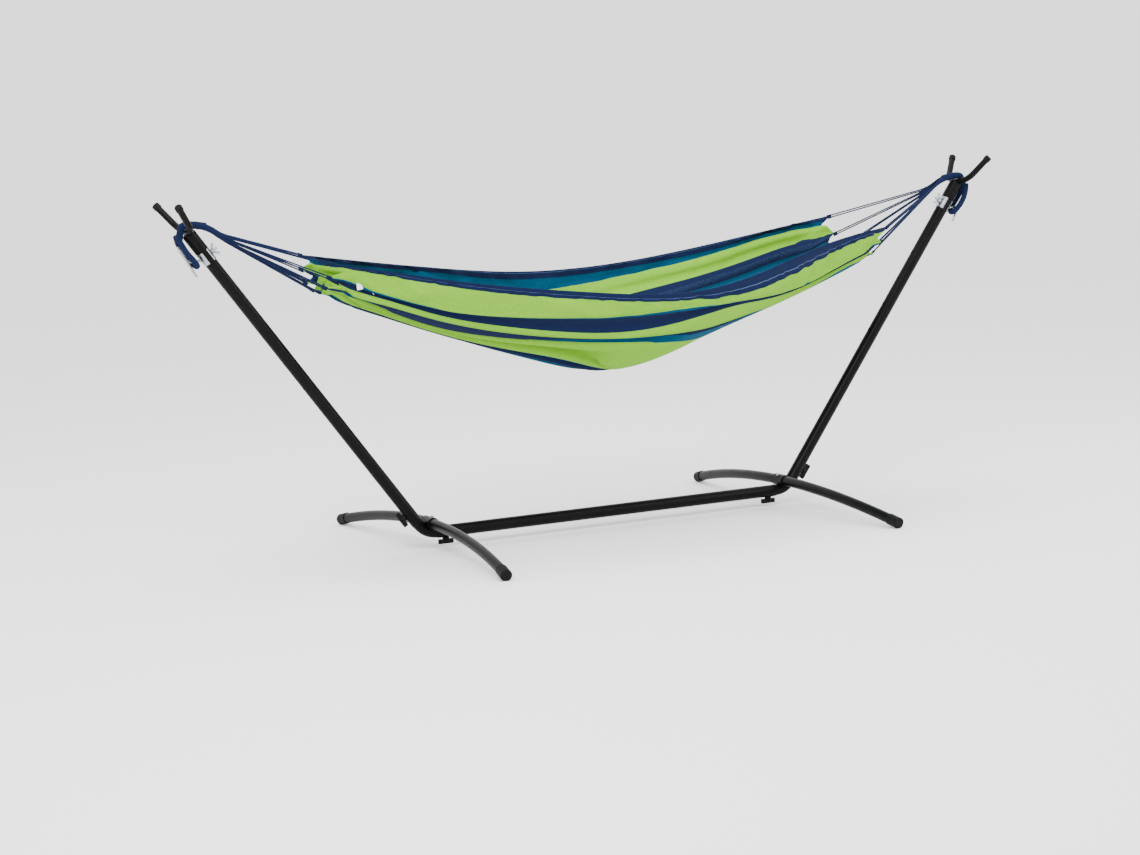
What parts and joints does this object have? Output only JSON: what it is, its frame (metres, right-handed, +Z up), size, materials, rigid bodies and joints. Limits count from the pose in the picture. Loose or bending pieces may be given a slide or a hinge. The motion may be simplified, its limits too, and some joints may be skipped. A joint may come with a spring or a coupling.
{
  "type": "hammock on stand",
  "caption": "Striped cotton hammock hung by fanned cords from the forked ends of a black tubular steel stand with bowed feet.",
  "frame": {"origin": "on the floor under the middle of the stand", "axes": "+X along the hammock towards its right end, +Y across it towards the far side, +Z up"},
  "size_m": [2.8312, 1.2574, 1.1032],
  "materials": {
    "black_powder_coat": "satin black powder coat on steel tube",
    "black_plastic": "moulded black plastic",
    "zinc_plate": "bright zinc plate",
    "striped_cotton": "woven cotton in navy, teal and lime stripes",
    "navy_cord": "twisted navy cotton cord"
  },
  "bodies": {
    "stand": {"base_beam": "black_powder_coat", "left_beam_nut": "zinc_plate", "left_elbow": "black_powder_coat", "left_foot": "black_powder_coat", "left_foot_bolt": "zinc_plate", "left_foot_cap_far": "black_plastic", "left_foot_cap_near": "black_plastic", "left_foot_ring": "black_powder_coat", "left_fork": "black_powder_coat", "left_fork_cap_far": "black_plastic", "left_fork_cap_near": "black_plastic", "left_hook": "zinc_plate", "left_inner_saddle": "zinc_plate", "left_outer_saddle": "zinc_plate", "left_rope_eye": "navy_cord", "left_rope_neck": "navy_cord", "left_upright": "black_powder_coat", "left_upright_nut": "zinc_plate", "right_beam_nut": "zinc_plate", "right_elbow": "black_powder_coat", "right_foot": "black_powder_coat", "right_foot_bolt": "zinc_plate", "right_foot_cap_far": "black_plastic", "right_foot_cap_near": "black_plastic", "right_foot_ring": "black_powder_coat", "right_fork": "black_powder_coat", "right_fork_cap_far": "black_plastic", "right_fork_cap_near": "black_plastic", "right_hook": "zinc_plate", "right_inner_saddle": "zinc_plate", "right_outer_saddle": "zinc_plate", "right_rope_eye": "navy_cord", "right_rope_neck": "navy_cord", "right_upright": "black_powder_coat", "right_upright_nut": "zinc_plate"},
    "left_wing_nut_body": {"left_wing_nut": "zinc_plate"},
    "left_upright_knob_body": {"left_upright_knob": "black_plastic"},
    "left_beam_knob_body": {"left_beam_knob": "black_plastic"},
    "right_wing_nut_body": {"right_wing_nut": "zinc_plate"},
    "right_upright_knob_body": {"right_upright_knob": "black_plastic"},
    "right_beam_knob_body": {"right_beam_knob": "black_plastic"},
    "hammock": {"hammock_fabric": "striped_cotton", "left_cord_bundle": "navy_cord", "left_cords": "navy_cord", "right_cord_bundle": "navy_cord", "right_cords": "navy_cord"}
  },
  "joints": [
    {"name": "hammock_swing", "type": "hinge", "parent": "stand", "child": "hammock", "pos_m": [0, 0, 1.036], "axis": [1, 0, 0], "range_deg": [-30, 30]},
    {"name": "left_wing_nut_turn", "type": "hinge", "parent": "stand", "child": "left_wing_nut_body", "pos_m": [-1.27768, 0, 0.95593], "axis": [-0.808, 0, -0.5892], "continuous": true},
    {"name": "left_upright_knob_turn", "type": "hinge", "parent": "stand", "child": "left_upright_knob_body", "pos_m": [-0.71023, 0, 0.10868], "axis": [-0.808, 0, -0.5892], "continuous": true},
    {"name": "left_beam_knob_turn", "type": "hinge", "parent": "stand", "child": "left_beam_knob_body", "pos_m": [-0.5768, 0, 0.0322], "axis": [0, 0, -1], "continuous": true},
    {"name": "right_wing_nut_turn", "type": "hinge", "parent": "stand", "child": "right_wing_nut_body", "pos_m": [1.27768, 0, 0.95593], "axis": [0.808, 0, -0.5892], "continuous": true},
    {"name": "right_upright_knob_turn", "type": "hinge", "parent": "stand", "child": "right_upright_knob_body", "pos_m": [0.71023, 0, 0.10868], "axis": [0.808, 0, -0.5892], "continuous": true},
    {"name": "right_beam_knob_turn", "type": "hinge", "parent": "stand", "child": "right_beam_knob_body", "pos_m": [0.5768, 0, 0.0322], "axis": [0, 0, -1], "continuous": true}
  ]
}
